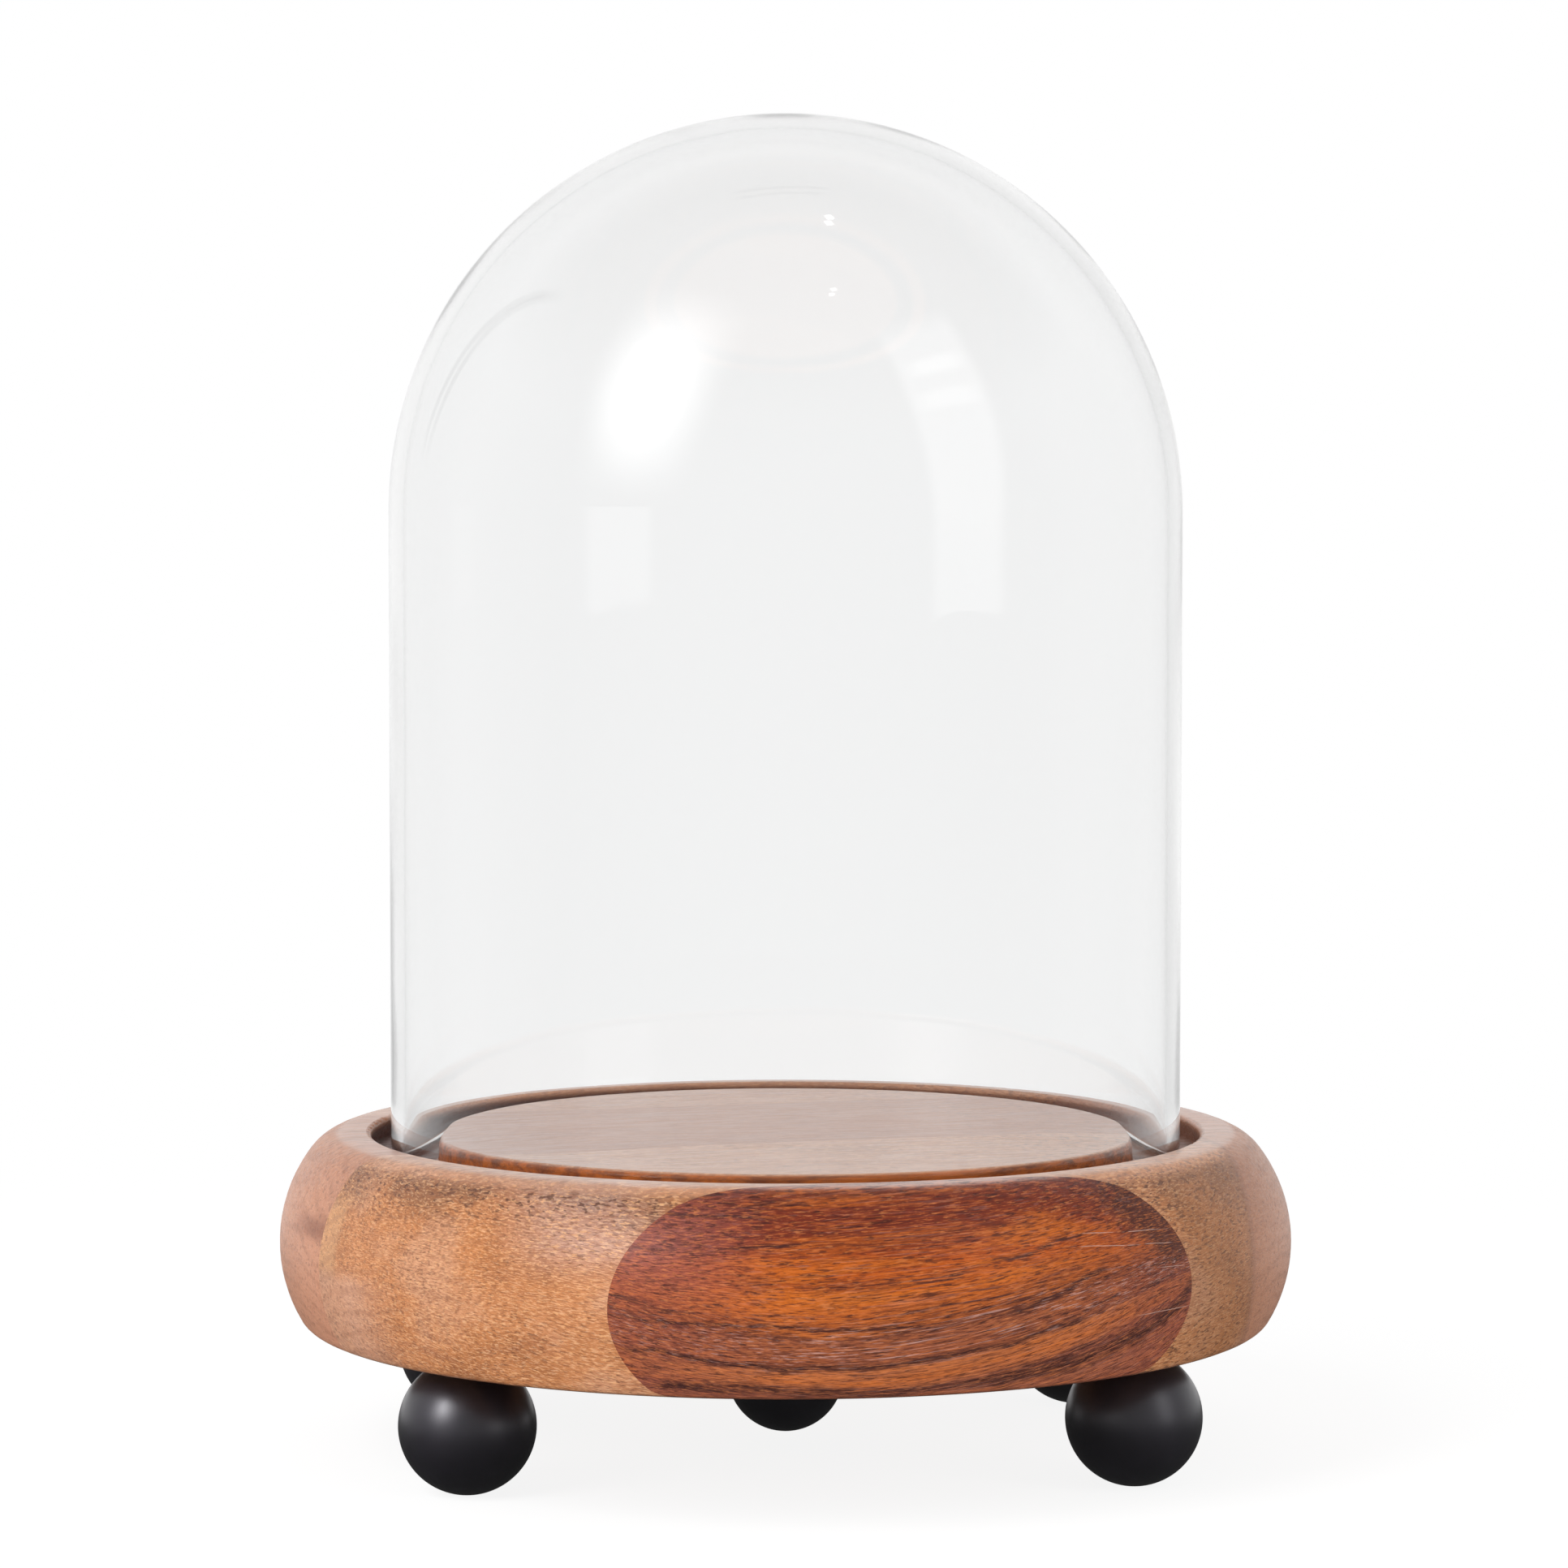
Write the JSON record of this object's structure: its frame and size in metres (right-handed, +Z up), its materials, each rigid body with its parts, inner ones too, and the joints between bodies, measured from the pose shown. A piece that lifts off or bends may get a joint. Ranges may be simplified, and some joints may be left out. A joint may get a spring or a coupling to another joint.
{
  "type": "glass display dome",
  "caption": "Round-topped clear glass dome that lifts off a turned, grooved wooden base with bulging sides, standing on black ball feet.",
  "frame": {"origin": "on the ground, under the middle of the base", "axes": "+Z up along the axis of the turned base and the dome; -Y towards the front, X along the long side of the rectangle of corner feet"},
  "size_m": [0.228, 0.228, 0.3004],
  "materials": {
    "clear_glass": "clear blown glass, polished lip",
    "dark_board_wood": "satin clear lacquer",
    "golden_board_wood": "satin clear lacquer",
    "brown_board_wood": "satin clear lacquer",
    "black_lacquered_wood": "satin black lacquer",
    "dowel_wood": "bare beech"
  },
  "bodies": {
    "base": {"front_board": "dark_board_wood", "middle_front_board": "golden_board_wood", "middle_rear_board": "brown_board_wood", "rear_board": "golden_board_wood", "front_left_foot": "black_lacquered_wood", "front_right_foot": "black_lacquered_wood", "rear_left_foot": "black_lacquered_wood", "rear_right_foot": "black_lacquered_wood", "centre_foot": "black_lacquered_wood", "front_left_dowel": "dowel_wood", "front_right_dowel": "dowel_wood", "rear_left_dowel": "dowel_wood", "rear_right_dowel": "dowel_wood", "centre_dowel": "dowel_wood"},
    "dome": {"glass_dome": "clear_glass"}
  },
  "joints": [
    {"name": "dome_lift", "type": "slide", "parent": "base", "child": "dome", "axis": [0, 0, 1], "range_m": [0, 0.24]}
  ]
}
